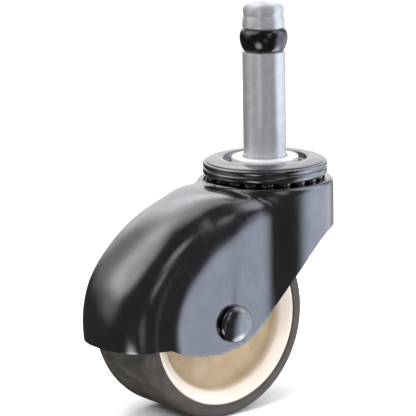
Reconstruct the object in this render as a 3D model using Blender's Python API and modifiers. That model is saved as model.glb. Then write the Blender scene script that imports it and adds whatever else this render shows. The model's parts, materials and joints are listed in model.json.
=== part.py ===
"""Hooded swivel caster with a grip-ring stem: a 2 inch wheel for the foot of a chair.

Frame: +Z up the stem, +X forward, and the wheel trails towards -X. The origin is on the
swivel axis, level with the top of the swivel collar. Sizes below are in millimetres, and
MM turns them into metres where a mesh is made.
"""

import math

import bmesh
import bpy
from mathutils import Vector

MM = 0.001
GAP = 0.3               # clearance between pieces that touch on the real caster

# Stem and grip ring
STEM_R = 5.556          # 7/16 inch stem
STEM_TOP = 39.9
NOSE_R = 4.9
RING_LOW, RING_HIGH = 27.8, 33.4
RING_MID_R, RING_EDGE_R = 6.2, 5.4
RING_GROOVE_R = 4.5
RING_SPLIT = 1.4
NOSE_SEAT_R = 5.5        # shoulder between the nose and the ring's groove
RIVET_NECK_R = 4.0      # the stem below the collar's recess
RIVET_TOP, RIVET_LOW = -15.4, -17.2
FLANGE_R = 8.7

# Swivel bearing
COLLAR_R = 16.1
COLLAR_LIP_R = 11.0     # inner edge of the collar's top lip
COLLAR_BOTTOM = -4.3
RECESS_Z = -1.8         # floor of the recess that the flange washer lies in
COLLAR_FLOOR_Z = -3.6   # underside of that floor
UPPER_PITCH_R, UPPER_BALL_R, UPPER_BALLS, UPPER_Z = 13.4, 1.95, 20, -5.1
LOWER_PITCH_R, LOWER_BALL_R, LOWER_BALLS, LOWER_Z = 8.4, 1.55, 14, -11.3
TRACK_GAP = 0.3

# Wheel
AXLE_X, AXLE_Z = -22.4, -38.2
WHEEL_R = 25.4          # 2 inch wheel
TYRE_SEAT_R = 21.8
WHEEL_HALF = 12.1       # half width at the tyre's seat
TREAD_HALF = 10.0
AXLE_R = 3.0
AXLE_HEAD_R, AXLE_HEAD_OUT = 4.85, 17.7
AXLE_HEAD_FOOT_R = 4.5   # a head next to the plate
AXLE_HEAD_EDGE = 0.6     # height of its edge, below the dome
WASHER_R, WASHER_IN, WASHER_OUT = 6.6, 12.95, 13.4
BUSH_R, BUSH_HALF = 4.3, 12.65
RIM_R = 18.6            # where the wheel's raised rim drops to the recessed web
WEB_HALF = 7.6
HUB_R, HUB_HALF = 7.2, 12.5

# Hood
WALL = 1.2
NECK_R, NECK_TOP = 17.75, -5.5
NECK_ROLL_Z, NECK_ROLL_R = 2.0, 1.05
PANEL_Y = 15.0
CROWN_HALF = 13.7       # half width of the crown's arch
CROWN_FOOT = 21.5       # distance from the axle at which the arch's flanks start
CROWN_POWER = 2.3       # 2 would be an ellipse, and more is squarer
SHOULDER_HALF, SHOULDER_POWER = 15.6, 4.0   # the arch's half width and power beside the neck
SHOULDER_ANGLES = (102.0, 66.0)             # angles about the axle between which it grows so
CROWN_LIMIT = 14.4      # the arch's flanks come no further out than this
WALL_SLOPE = 0.8        # slope of the step from the crown up to the side panel
STEP_WIDTH = 4.0        # furthest that the step reaches out from the panel's edge
PANEL_FRONT_X = -8.0    # the panel's plane fades into the neck ahead of this
EDGE_SOFT, VALLEY_SOFT, NECK_SOFT = 1.9, 1.3, 1.6   # widths over which the forms run together
SHOULDER_Z = -9.4       # where the crown's rows end and the plate's rows start on the neck
CREASE_X = -9.4         # where the flat panel meets the neck
CREASE_ANGLE = 122.0    # the same place, as an angle round the neck from the front
# Distances from the axle, by angle in degrees round from +X.
RIDGE = ((60, 33.3), (85, 32.6), (110, 30.7), (135, 30.3), (160, 31.8), (192, 31.9))
PANEL_EDGE = ((60, 33.5), (69, 30.2), (91, 23.7), (110, 21.2), (131, 19.8), (192, 19.8))
# Lower edge of the side plate, as x and z from below the neck's front to the rear rim.
PLATE_EDGE = (
    (17.8, -17.9),
    (12.5, -17.9),
    (8.0, -18.4),
    (4.3, -20.2),
    (0.2, -23.7),
    (-5.7, -30.6),
    (CREASE_X, -36.0),
    (-11.3, -38.7),
    (-15.6, -42.5),
    (-20.5, -44.8),
    (-26.9, -45.7),
    (-33.2, -45.1),
    (-37.9, -43.9),
    (-41.9, -42.2),
)
# Angles about the axle of the lines that the shell is lofted through: where the panel's edge
# passes the crease, the neck's back and the rear rim, then the ridge's two ends.
FOOT_ANGLES = (65.7, 74.0, 191.3)
RIDGE_ANGLES = (80.0, 187.0)
NECK_STATIONS, RIM_STATIONS, CROWN_STATIONS = 15, 4, 22
ARCH_ROWS, PLATE_ROWS = 9, 5
HIT_REACH = 40.0        # every ray meets the form within this distance
ON_MIDDLE = 0.05        # points this near the middle plane are put on it
OFF_MIDDLE = 0.3        # a rim edge beyond this joins the skins


def start_scene():
    for obj in list(bpy.data.objects):
        bpy.data.objects.remove(obj, do_unlink=True)
    parts = bpy.data.collections.new("chair_caster")
    cutters = bpy.data.collections.new("cutters")
    for collection in (parts, cutters):
        bpy.context.scene.collection.children.link(collection)
    return parts, cutters


PARTS, CUTTERS = start_scene()


def finish(name, colour, roughness, metallic=1.0):
    material = bpy.data.materials.new(name)
    material.use_nodes = True
    shader = material.node_tree.nodes["Principled BSDF"]
    shader.inputs["Base Color"].default_value = (*colour, 1.0)
    shader.inputs["Roughness"].default_value = roughness
    shader.inputs["Metallic"].default_value = metallic
    return material


ZINC = finish("bright_zinc", (0.62, 0.64, 0.68), 0.25)
BLACK_OXIDE = finish("black_oxide", (0.03, 0.03, 0.03), 0.4)
GUNMETAL = finish("gunmetal_plate", (0.30, 0.31, 0.34), 0.2)
BEARING_STEEL = finish("bearing_steel", (0.55, 0.55, 0.57), 0.15)
RACE_STEEL = finish("race_steel", (0.35, 0.35, 0.36), 0.35)
CREAM = finish("cream_nylon", (0.86, 0.76, 0.66), 0.45, 0.0)
TREAD = finish("dark_tread", (0.09, 0.075, 0.06), 0.6, 0.0)


def add_object(name, mesh, material, collection=PARTS):
    obj = bpy.data.objects.new(name, mesh)
    mesh.materials.append(material)
    collection.objects.link(obj)
    return obj


def smooth(obj, sharp_degrees=35):
    obj.data.shade_smooth()
    obj.data.set_sharp_from_angle(angle=math.radians(sharp_degrees))


def turned(name, profile, material, steps=36, about_y=False):
    """A solid turned from a closed profile of (radius, height), listed down its outer side first."""
    mesh = bpy.data.meshes.new(name)
    shape = bmesh.new()
    corners = [shape.verts.new((r * MM, 0.0, z * MM)) for r, z in profile]
    on_axis = profile[0][0] == 0 and profile[-1][0] == 0
    ends = corners[1:] if on_axis else corners[1:] + corners[:1]
    for first, second in zip(corners, ends):
        shape.edges.new((first, second))
    shape.to_mesh(mesh)
    shape.free()
    obj = add_object(name, mesh, material)
    screw = obj.modifiers.new("turn", "SCREW")
    screw.steps = steps
    screw.render_steps = steps
    screw.use_merge_vertices = True
    screw.merge_threshold = 0.00001
    screw.use_smooth_shade = True
    if about_y:
        obj.rotation_euler = (math.radians(90), 0.0, 0.0)
        obj.location = (AXLE_X * MM, 0.0, AXLE_Z * MM)
    return obj


def arc(centre_r, centre_z, radius, start, end, count):
    """Points of (radius, height) round an arc, with its angles in degrees from +r."""
    points = []
    for i in range(count + 1):
        angle = math.radians(start + (end - start) * i / count)
        points.append((centre_r + radius * math.cos(angle), centre_z + radius * math.sin(angle)))
    return points


def make_stem():
    profile = [
        (0.0, STEM_TOP),
        (NOSE_R - 0.7, STEM_TOP),
        (NOSE_R + 0.1, STEM_TOP - 0.5),
        (NOSE_R + 0.4, STEM_TOP - 2.3),
        (NOSE_R + 0.15, STEM_TOP - 3.0),
        (NOSE_R + 0.45, STEM_TOP - 3.7),
        (NOSE_SEAT_R, 35.0),
        (NOSE_SEAT_R, RING_HIGH + GAP),
        (RING_GROOVE_R, RING_HIGH + GAP),
        (RING_GROOVE_R, RING_LOW - GAP),
        (STEM_R, RING_LOW - GAP),
        (STEM_R, RECESS_Z + GAP),
        (RIVET_NECK_R, RECESS_Z + GAP),
        (RIVET_NECK_R, RIVET_TOP),
        (RIVET_NECK_R + 2.0, RIVET_TOP),
        (RIVET_NECK_R + 1.9, RIVET_TOP - 0.8),
        (RIVET_NECK_R + 0.6, RIVET_LOW + 0.2),
        (0.0, RIVET_LOW),
    ]
    return turned("stem", profile, ZINC)


def make_grip_ring():
    """A barrel sleeve split along one side, so its section is swept round less than a full turn."""
    half_split = math.degrees(0.5 * RING_SPLIT / RING_MID_R)
    height = RING_HIGH - RING_LOW
    section = []
    barrel_rows, steps = 6, 32
    for i in range(barrel_rows + 1):
        share = i / barrel_rows
        bulge = math.sin(math.pi * share) ** 0.7
        section.append((RING_EDGE_R + (RING_MID_R - RING_EDGE_R) * bulge, RING_HIGH - height * share))
    section += [(RING_GROOVE_R + GAP, RING_LOW), (RING_GROOVE_R + GAP, RING_HIGH)]
    mesh = bpy.data.meshes.new("grip_ring")
    shape = bmesh.new()
    rings = []
    for i in range(steps + 1):
        turn = math.radians(half_split + (360 - 2 * half_split) * i / steps)
        rings.append([
            shape.verts.new((r * math.cos(turn) * MM, r * math.sin(turn) * MM, z * MM))
            for r, z in section
        ])
    count = len(section)
    for first, second in zip(rings, rings[1:]):
        for j in range(count):
            k = (j + 1) % count
            shape.faces.new((first[j], first[k], second[k], second[j]))
    shape.faces.new(rings[0][::-1])
    shape.faces.new(rings[-1])
    bmesh.ops.recalc_face_normals(shape, faces=shape.faces)
    shape.to_mesh(mesh)
    shape.free()
    ring = add_object("grip_ring", mesh, BLACK_OXIDE)
    smooth(ring)
    return ring


def make_flange_washer():
    bore, top, bottom = STEM_R + GAP, 0.15, RECESS_Z + GAP
    profile = [(bore, top), (FLANGE_R - 0.5, top), (FLANGE_R, top - 0.4), (FLANGE_R, bottom), (bore, bottom)]
    return turned("flange_washer", profile, ZINC)


def make_swivel_collar():
    track = arc(UPPER_PITCH_R, UPPER_Z, UPPER_BALL_R + TRACK_GAP, 21, 165, 8)
    profile = [
        (COLLAR_LIP_R, -0.3),
        (COLLAR_LIP_R + 0.5, 0.0),
        (COLLAR_R - 0.8, 0.0),
        (COLLAR_R - 0.1, -0.35),
        (COLLAR_R - 0.1, -0.8),
        (COLLAR_R + 0.1, -1.3),
        (COLLAR_R - 0.1, -1.9),
        (COLLAR_R - 0.3, -2.4),
        (COLLAR_R - 0.1, -2.9),
        (COLLAR_R + 0.1, -3.5),
        (COLLAR_R, COLLAR_BOTTOM),
        *track,
        (COLLAR_LIP_R - 0.4, COLLAR_FLOOR_Z),
        (RIVET_NECK_R + GAP, COLLAR_FLOOR_Z),
        (RIVET_NECK_R + GAP, RECESS_Z),
        (COLLAR_LIP_R - 0.5, RECESS_Z),
    ]
    return turned("swivel_collar", profile, GUNMETAL, steps=40)


def make_swivel_race():
    """The cup pressed in the neck: the upper balls run on top of it and the lower balls under it."""
    upper = arc(UPPER_PITCH_R, UPPER_Z, UPPER_BALL_R + TRACK_GAP, 195, 330, 7)
    lower = arc(LOWER_PITCH_R, LOWER_Z, LOWER_BALL_R + TRACK_GAP, 30, 165, 6)
    seat_r, bore = NECK_R - WALL - 0.55, RIVET_NECK_R + 1.6
    profile = [
        *upper,
        (seat_r, -6.25),
        (seat_r, -8.6),
        (12.0, -9.0),
        *lower,
        (bore, -10.2),
        (bore, -6.4),
    ]
    return turned("swivel_race", profile, RACE_STEEL, steps=36)


def make_retaining_cup():
    track = arc(LOWER_PITCH_R, LOWER_Z, LOWER_BALL_R + TRACK_GAP, 200, 335, 6)
    bore, outer_r, top = RIVET_NECK_R + GAP, 10.7, -12.0
    profile = [
        *track,
        (outer_r, top),
        (outer_r, top - 1.0),
        (outer_r - 1.5, top - 2.4),
        (bore, RIVET_TOP + GAP),
        (bore, top),
    ]
    return turned("retaining_cup", profile, RACE_STEEL, steps=32)


def make_balls(name, count, pitch_r, z, radius):
    mesh = bpy.data.meshes.new(name)
    shape = bmesh.new()
    bmesh.ops.create_icosphere(shape, subdivisions=1, radius=radius * MM)
    shape.to_mesh(mesh)
    shape.free()
    mesh.shade_smooth()
    mesh.materials.append(BEARING_STEEL)
    for i in range(count):
        turn = 2 * math.pi * i / count
        ball = bpy.data.objects.new(f"{name}_{i + 1:02d}", mesh)
        ball.location = (pitch_r * math.cos(turn) * MM, pitch_r * math.sin(turn) * MM, z * MM)
        PARTS.objects.link(ball)


def make_axle():
    """A rivet with a domed head on each side, once it has been closed."""
    under_head = PANEL_Y + GAP
    dome_foot = under_head + AXLE_HEAD_EDGE
    head = [(AXLE_R, under_head), (AXLE_HEAD_FOOT_R, under_head), (AXLE_HEAD_R, dome_foot)]
    rise = AXLE_HEAD_OUT - dome_foot
    for degrees in (30, 60):
        angle = math.radians(degrees)
        head.append((AXLE_HEAD_R * math.cos(angle), dome_foot + rise * math.sin(angle)))
    head.append((0.0, AXLE_HEAD_OUT))
    profile = head[::-1] + [(r, -z) for r, z in head]
    return turned("axle", profile, BLACK_OXIDE, steps=24, about_y=True)


def make_thrust_washers():
    bore = AXLE_R + GAP
    for name, side in (("thrust_washer_near", 1), ("thrust_washer_far", -1)):
        profile = [(bore, WASHER_OUT), (WASHER_R, WASHER_OUT), (WASHER_R, WASHER_IN), (bore, WASHER_IN)]
        if side < 0:
            profile = [(r, -z) for r, z in profile[::-1]]
        turned(name, profile, ZINC, steps=24, about_y=True)


def make_hub_bush():
    bore = AXLE_R + GAP
    profile = [(bore, BUSH_HALF), (BUSH_R, BUSH_HALF), (BUSH_R, -BUSH_HALF), (bore, -BUSH_HALF)]
    return turned("hub_bush", profile, BEARING_STEEL, steps=24, about_y=True)


def make_wheel_core():
    seat = TYRE_SEAT_R - 0.2
    side = [
        (BUSH_R + GAP, HUB_HALF),
        (HUB_R, HUB_HALF),
        (HUB_R + 0.5, HUB_HALF - 0.5),
        (HUB_R + 1.1, WEB_HALF + 0.7),
        (HUB_R + 2.1, WEB_HALF),
        (RIM_R - 1.8, WEB_HALF),
        (RIM_R - 0.6, WEB_HALF + 0.8),
        (RIM_R, WEB_HALF + 2.4),
        (RIM_R + 1.6, WHEEL_HALF - 0.8),
        (RIM_R + 2.6, WHEEL_HALF - 0.15),
        (seat, WHEEL_HALF - 0.35),
        (seat, 3.0),
        (seat + 1.0, 2.6),
    ]
    profile = side + [(r, -y) for r, y in side[::-1]]
    return turned("wheel_core", profile, CREAM, steps=44, about_y=True)


def make_tyre():
    seat = TYRE_SEAT_R + 0.1
    side = [
        (seat + 1.0, 2.9),
        (seat, 3.3),
        (seat, WHEEL_HALF),
        (seat + 0.4, WHEEL_HALF),
        (WHEEL_R - 1.2, TREAD_HALF + 1.6),
        (WHEEL_R - 0.4, TREAD_HALF + 0.9),
        (WHEEL_R, TREAD_HALF),
    ]
    profile = side + [(r, -y) for r, y in side[::-1]]
    return turned("tyre", profile, TREAD, steps=52, about_y=True)


def along(points, value):
    """A smooth curve through (angle, distance) points, read at one angle by Catmull-Rom."""
    for i in range(len(points) - 1):
        if value <= points[i + 1][0] or i == len(points) - 2:
            break
    before = points[max(i - 1, 0)]
    start, end = points[i], points[i + 1]
    after = points[min(i + 2, len(points) - 1)]
    width = end[0] - start[0]
    share = (value - start[0]) / width
    slope_start = (end[1] - before[1]) / max(end[0] - before[0], 1e-6) * width
    slope_end = (after[1] - start[1]) / max(after[0] - start[0], 1e-6) * width
    square, cube = share * share, share**3
    return (
        (2 * cube - 3 * square + 1) * start[1]
        + (cube - 2 * square + share) * slope_start
        + (3 * square - 2 * cube) * end[1]
        + (cube - square) * slope_end
    )


def smooth_min(a, b, width):
    overlap = max(width - abs(a - b), 0.0) / width
    return min(a, b) - overlap * overlap * width / 4


def hood_field(x, y, z):
    """Negative inside the hood's outer form, which joins a neck, a crown and a side panel."""
    roll = min(max((z - NECK_TOP + NECK_ROLL_Z) / NECK_ROLL_Z, 0.0), 1.0)
    neck_r = NECK_R - NECK_ROLL_R * (1 - math.sqrt(1 - roll * roll))
    neck = math.hypot(x, y) - neck_r
    from_axle = math.hypot(x - AXLE_X, z - AXLE_Z)
    angle = math.degrees(math.atan2(z - AXLE_Z, x - AXLE_X)) % 360
    angle = RIDGE[0][0] if angle > 300 else min(max(angle, RIDGE[0][0]), RIDGE[-1][0])
    ridge = along(RIDGE, angle)
    toward_neck = (SHOULDER_ANGLES[0] - angle) / (SHOULDER_ANGLES[0] - SHOULDER_ANGLES[1])
    toward_neck = min(max(toward_neck, 0.0), 1.0)
    toward_neck = toward_neck**2 * (3 - 2 * toward_neck)
    half = CROWN_HALF + (SHOULDER_HALF - CROWN_HALF) * toward_neck
    power = CROWN_POWER + (SHOULDER_POWER - CROWN_POWER) * toward_neck
    up = max(from_axle - CROWN_FOOT, 0.0) / (ridge - CROWN_FOOT)
    across = abs(y) / half
    crown = ((up**power + across**power) ** (1 / power) - 1) * half
    crown = -smooth_min(-crown, CROWN_LIMIT - abs(y), 0.8)
    past_edge = from_axle - along(PANEL_EDGE, angle)
    flat = abs(y) - PANEL_Y
    step = (flat + WALL_SLOPE * past_edge) / math.hypot(1, WALL_SLOPE)
    panel = -smooth_min(smooth_min(-flat, -step, EDGE_SOFT), STEP_WIDTH - past_edge, 1.5)
    panel += 5 * max(x - PANEL_FRONT_X, 0.0)
    return smooth_min(smooth_min(crown, neck, NECK_SOFT), panel, VALLEY_SOFT)


def hit(origin, direction, level):
    """The point along a ray from inside the hood at which its field reaches a level."""
    near, far = 0.0, HIT_REACH
    for _ in range(30):
        middle = (near + far) / 2
        point = origin + direction * middle
        if hood_field(*point) < level:
            near = middle
        else:
            far = middle
    return origin + direction * far


def plate_edge_z(x):
    """Height of the plate's lower edge under the neck, at this x."""
    for (x0, z0), (x1, z1) in zip(PLATE_EDGE, PLATE_EDGE[1:]):
        if x1 <= x <= x0:
            return z0 + (z1 - z0) * (x0 - x) / (x0 - x1)
    return PLATE_EDGE[0][1]


def plate_edge_at(share):
    """Point of the lower edge between the panel's crease and the place below the rear corner."""
    crease = [x for x, _ in PLATE_EDGE].index(CREASE_X)
    run = [Vector((x, 0, z)) for x, z in PLATE_EDGE[crease:-1]]
    lengths = [(b - a).length for a, b in zip(run, run[1:])]
    target = share * sum(lengths)
    for a, b, length in zip(run, run[1:], lengths):
        if target <= length + 1e-9:
            return a.lerp(b, target / length)
        target -= length
    return run[-1]


def about_axle(angle, distance):
    turn = math.radians(angle)
    return Vector((AXLE_X + distance * math.cos(turn), 0, AXLE_Z + distance * math.sin(turn)))


def hood_stations():
    """Rays that cut the hood's form, in lines that run from its top down to its lower edge."""
    stations = []
    for i in range(NECK_STATIONS):
        turn = math.radians(CREASE_ANGLE * i / (NECK_STATIONS - 1))
        direction = Vector((math.cos(turn), -math.sin(turn), 0))
        edge_z = plate_edge_z(NECK_R * math.cos(turn))
        heights = [NECK_TOP + (SHOULDER_Z - NECK_TOP) * j / ARCH_ROWS for j in range(ARCH_ROWS)]
        heights += [SHOULDER_Z + (edge_z - SHOULDER_Z) * j / PLATE_ROWS for j in range(PLATE_ROWS + 1)]
        stations.append([(Vector((0, 0, z)), direction) for z in heights])
    for i in range(1, CROWN_STATIONS + 1):
        rim_share = min(i / RIM_STATIONS, 1.0)
        ridge_share = max((i - RIM_STATIONS) / (CROWN_STATIONS - RIM_STATIONS), 0.0)
        foot_angle = FOOT_ANGLES[0] + (FOOT_ANGLES[1] - FOOT_ANGLES[0]) * rim_share
        foot_angle += (FOOT_ANGLES[2] - FOOT_ANGLES[1]) * ridge_share
        foot = about_axle(foot_angle, along(PANEL_EDGE, foot_angle))
        if ridge_share > 0:
            ridge_angle = RIDGE_ANGLES[0] + (RIDGE_ANGLES[1] - RIDGE_ANGLES[0]) * ridge_share
            top = about_axle(ridge_angle, along(RIDGE, ridge_angle))
            start = 0.0
        else:
            turn = math.radians(CREASE_ANGLE + (180 - CREASE_ANGLE) * rim_share)
            rim_r = NECK_R - NECK_ROLL_R
            top = Vector((rim_r * math.cos(turn), 0, NECK_TOP))
            start = math.atan2(rim_r * math.sin(turn), (top - foot).length)
        up = (top - foot).normalized()
        rays = []
        for j in range(ARCH_ROWS):
            lean = start + (math.pi / 2 - start) * j / ARCH_ROWS
            rays.append((foot, up * math.cos(lean) + Vector((0, -math.sin(lean), 0))))
        bottom = plate_edge_at(i / CROWN_STATIONS)
        for j in range(PLATE_ROWS + 1):
            rays.append((foot.lerp(bottom, j / PLATE_ROWS), Vector((0, -1, 0))))
        stations.append(rays)
    return stations


def make_hood():
    """Half of the shell as a loft through the stations, mirrored across the caster's middle."""
    mesh = bpy.data.meshes.new("hood")
    shape = bmesh.new()
    stations = hood_stations()
    skins = []
    for level in (0.0, -WALL):
        skins.append([
            [shape.verts.new(hit(origin, direction, level) * MM) for origin, direction in rays]
            for rays in stations
        ])
    for skin in skins:
        for first, second in zip(skin, skin[1:]):
            for j in range(len(first) - 1):
                shape.faces.new((first[j], first[j + 1], second[j + 1], second[j]))
    outer, inner = skins
    last = len(outer) - 1
    for i in range(last):
        shape.faces.new((outer[i][-1], inner[i][-1], inner[i + 1][-1], outer[i + 1][-1]))
        if abs(outer[i][0].co.y) > OFF_MIDDLE * MM or i == 0:
            shape.faces.new((outer[i][0], outer[i + 1][0], inner[i + 1][0], inner[i][0]))
    for j in range(len(outer[last]) - 1):
        shape.faces.new((outer[last][j], outer[last][j + 1], inner[last][j + 1], inner[last][j]))
    for vertex in shape.verts:
        if abs(vertex.co.y) < ON_MIDDLE * MM:
            vertex.co.y = 0.0
    bmesh.ops.recalc_face_normals(shape, faces=shape.faces)
    shape.to_mesh(mesh)
    shape.free()
    hood = add_object("hood", mesh, GUNMETAL)
    mirror = hood.modifiers.new("other_side", "MIRROR")
    mirror.use_axis = (False, True, False)
    mirror.merge_threshold = 0.00005
    hole = cylinder_cutter("axle_hole", AXLE_R + GAP, 60.0)
    cut = hood.modifiers.new("axle_hole", "BOOLEAN")
    cut.object = hole
    smooth(hood)
    return hood


def cylinder_cutter(name, radius, length):
    bpy.ops.mesh.primitive_cylinder_add(
        vertices=20,
        radius=radius * MM,
        depth=length * MM,
        location=(AXLE_X * MM, 0.0, AXLE_Z * MM),
        rotation=(math.radians(90), 0.0, 0.0),
    )
    cutter = bpy.context.object
    cutter.name = name
    for collection in list(cutter.users_collection):
        collection.objects.unlink(cutter)
    CUTTERS.objects.link(cutter)
    cutter.hide_render = True
    cutter.display_type = "WIRE"
    return cutter


make_stem()
make_grip_ring()
make_flange_washer()
make_swivel_collar()
make_balls("upper_ball", UPPER_BALLS, UPPER_PITCH_R, UPPER_Z, UPPER_BALL_R)
make_hood()
make_swivel_race()
make_balls("lower_ball", LOWER_BALLS, LOWER_PITCH_R, LOWER_Z, LOWER_BALL_R)
make_retaining_cup()
make_axle()
make_thrust_washers()
make_hub_bush()
make_wheel_core()
make_tyre()
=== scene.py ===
"""Looks for the hooded swivel caster: fine pieces, finishes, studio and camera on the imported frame.

Everything is in the CAD's own frame: +Z up the stem, +X forward, the origin on the swivel axis
level with the collar's top. Sizes are in millimetres, and MM turns them into metres.
"""

import json
import math

import bmesh
import bpy
import numpy as np
from mathutils import Matrix, Vector


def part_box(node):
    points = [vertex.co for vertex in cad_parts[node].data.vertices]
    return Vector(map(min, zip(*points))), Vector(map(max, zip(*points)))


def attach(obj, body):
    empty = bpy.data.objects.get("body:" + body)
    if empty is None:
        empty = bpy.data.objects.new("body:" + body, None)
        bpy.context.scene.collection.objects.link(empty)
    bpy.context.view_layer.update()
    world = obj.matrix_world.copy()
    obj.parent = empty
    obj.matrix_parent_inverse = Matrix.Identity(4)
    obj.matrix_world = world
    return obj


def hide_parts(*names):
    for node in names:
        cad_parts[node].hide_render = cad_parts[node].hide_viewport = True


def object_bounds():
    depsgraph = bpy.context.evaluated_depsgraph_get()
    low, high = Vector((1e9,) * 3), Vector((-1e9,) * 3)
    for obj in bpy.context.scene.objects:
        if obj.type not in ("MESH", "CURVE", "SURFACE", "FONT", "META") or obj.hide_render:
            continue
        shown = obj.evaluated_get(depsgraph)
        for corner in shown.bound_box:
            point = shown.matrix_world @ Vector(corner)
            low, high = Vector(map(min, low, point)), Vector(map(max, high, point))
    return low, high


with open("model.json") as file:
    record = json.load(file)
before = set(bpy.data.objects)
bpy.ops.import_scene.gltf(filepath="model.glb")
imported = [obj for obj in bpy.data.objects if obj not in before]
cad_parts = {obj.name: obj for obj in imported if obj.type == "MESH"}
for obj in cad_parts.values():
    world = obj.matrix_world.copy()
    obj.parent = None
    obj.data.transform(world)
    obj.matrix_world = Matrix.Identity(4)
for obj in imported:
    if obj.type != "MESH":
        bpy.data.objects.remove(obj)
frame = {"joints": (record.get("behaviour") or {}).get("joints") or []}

CAD_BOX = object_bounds()
MM = 0.001
GAP = 0.3               # clearance between pieces that fit together
SHARP_ANGLE = 38        # edges of the turned pieces that stay sharp, in degrees


def box_mm(node):
    """Lowest and highest corner of a CAD node, in millimetres."""
    low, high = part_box(node)
    return low / MM, high / MM


# Sizes and places read from the frame
STEM_LOW, STEM_HIGH = box_mm("stem")
RING_LOW, RING_HIGH = box_mm("grip_ring")
FLANGE_LOW, FLANGE_HIGH = box_mm("flange_washer")
COLLAR_LOW = box_mm("swivel_collar")[0]
CUP_LOW, CUP_HIGH = box_mm("retaining_cup")
TYRE_LOW, TYRE_HIGH = box_mm("tyre")
AXLE_HIGH = box_mm("axle")[1]
BUSH_HIGH = box_mm("hub_bush")[1]
WHEEL_SPIN = next(joint for joint in frame["joints"] if joint["name"] == "wheel_spin")
AXLE_X, AXLE_Z = WHEEL_SPIN["pos_m"][0] / MM, WHEEL_SPIN["pos_m"][2] / MM
AXLE_AT = Vector((AXLE_X, 0.0, AXLE_Z))
WHEEL_R = (TYRE_HIGH.z - TYRE_LOW.z) / 2

# Stem and grip ring, with the CAD's driving sizes
STEM_R = 5.556          # 7/16 inch stem
NOSE_R, NOSE_SEAT_R = 4.9, 5.5
RING_MID_R, RING_GROOVE_R = 6.2, 4.5
RING_END_R = 5.05       # the ring's rounded ends
RING_SPLIT = 1.4
RING_ROWS, RING_STEPS = 26, 150
RIVET_NECK_R, RIVET_HEAD_R = 4.0, 6.0
RIVET_TOP = -15.4
RECESS_Z = -1.8         # recess in the collar's top, round the stem

# Swivel bearing
COLLAR_R, COLLAR_LIP_R = 16.1, 11.0
COLLAR_FLOOR_Z = -3.6
UPPER_PITCH_R, UPPER_BALL_R, UPPER_BALLS, UPPER_Z = 13.4, 1.95, 20, -5.1
LOWER_PITCH_R, LOWER_BALL_R, LOWER_BALLS, LOWER_Z = 8.4, 1.55, 14, -11.3
TRACK_GAP = 0.3
RACE_BORE_R = 5.6
CUP_TOP_Z = -12.0

# Wheel and axle
TYRE_SEAT_R = 21.8
WHEEL_HALF, TREAD_HALF = 12.1, 10.0
RIM_R, WEB_HALF = 18.6, 7.6
HUB_R, HUB_HALF = 7.2, 12.5
BUSH_R = 4.3
WASHER_R = 6.6
AXLE_R = 3.0
AXLE_HEAD_R, AXLE_HEAD_FOOT_R = 4.85, 4.5
AXLE_HEAD_EDGE = 0.6    # height of a head's edge, below its dome
DOME_STEPS = 15

# Hood
WALL = 1.2
NECK_R, NECK_TOP = 17.75, -5.5
NECK_ROLL_Z, NECK_ROLL_R = 2.0, 1.05
PANEL_Y = 15.0
CROWN_HALF = 13.7       # half width of the crown's arch
CROWN_FOOT = 21.5       # distance from the axle at which the arch's flanks start
CROWN_POWER = 2.3       # 2 would be an ellipse, and more is squarer
SHOULDER_HALF, SHOULDER_POWER = 15.6, 4.0   # the arch's half width and power beside the neck
SHOULDER_ANGLES = (102.0, 66.0)             # angles about the axle between which it grows so
CROWN_LIMIT = 14.4      # the arch's flanks come no further out than this
LIMIT_SOFT, REACH_SOFT = 0.8, 1.5           # softness of the flanks' limit and of the step's end
WALL_SLOPE = 0.8        # slope of the step from the crown up to the side panel
STEP_WIDTH = 4.0        # furthest that the step reaches out from the panel's edge
PANEL_FRONT_X = -8.0    # the panel's plane fades into the neck ahead of this
PANEL_FADE = 5.0
EDGE_SOFT, VALLEY_SOFT, NECK_SOFT = 1.9, 1.3, 1.6   # widths over which the forms run together
SHOULDER_Z = -9.4       # where the crown's rows end and the plate's rows start on the neck
CREASE_X = -9.4         # where the flat panel meets the neck
CREASE_ANGLE = 122.0    # the same place, as an angle round the neck from the front
# Distances from the axle, by angle in degrees round from +X
RIDGE = ((60, 33.3), (85, 32.6), (110, 30.7), (135, 30.3), (160, 31.8), (192, 31.9))
PANEL_EDGE = ((60, 33.5), (69, 30.2), (91, 23.7), (110, 21.2), (131, 19.8), (192, 19.8))
# Lower edge of the side plate, from the front to the rear corner, as x and z
PLATE_EDGE = (
    (17.8, -17.9),
    (12.5, -17.9),
    (8.0, -18.4),
    (4.3, -20.2),
    (0.2, -23.7),
    (-5.7, -30.6),
    (CREASE_X, -36.0),
    (-11.3, -38.7),
    (-15.6, -42.5),
    (-20.5, -44.8),
    (-26.9, -45.7),
    (-33.2, -45.1),
    (-37.9, -43.9),
    (-41.9, -42.2),
)
FOOT_ANGLES = (65.7, 74.0, 191.3)
RIDGE_ANGLES = (80.0, 187.0)
NECK_STATIONS, RIM_STATIONS, CROWN_STATIONS = 64, 18, 110
ARCH_ROWS, PLATE_ROWS = 52, 26
ROW_CROWDING = 1.6      # draws the arch's rows on the neck closer to its rolled top
HIT_REACH, HIT_HALVINGS = 40.0, 34
ON_MIDDLE = 0.05        # points this near the middle plane are put on it
MIRROR_MERGE = 0.02     # points this near their mirrored copies become one
HOLE_LENGTH, HOLE_SEGMENTS = 60.0, 64       # the drill for the axle's hole
EDGE_ROUND = 0.22       # rounding of the hood's cut edges
EDGE_ANGLE = 50         # an edge this sharp, in degrees, is a cut one
WEAR_REACH = 0.35       # the wear fades over this distance from a cut edge
WEAR_GROUP = 400        # edge points measured at one time, which bounds the memory

# Camera, with its angles in degrees
CAMERA_AZIMUTH, CAMERA_ELEVATION, CAMERA_ROLL = -37.126, 12.244, -0.908
CAMERA_DISTANCE, CAMERA_LENS = 700.0, 233.47
AIM_RIGHT, AIM_UP = -14.974, -13.336   # from the collar's top to the aim, across and up the view


# ---------------------------------------------------------------- materials

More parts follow.
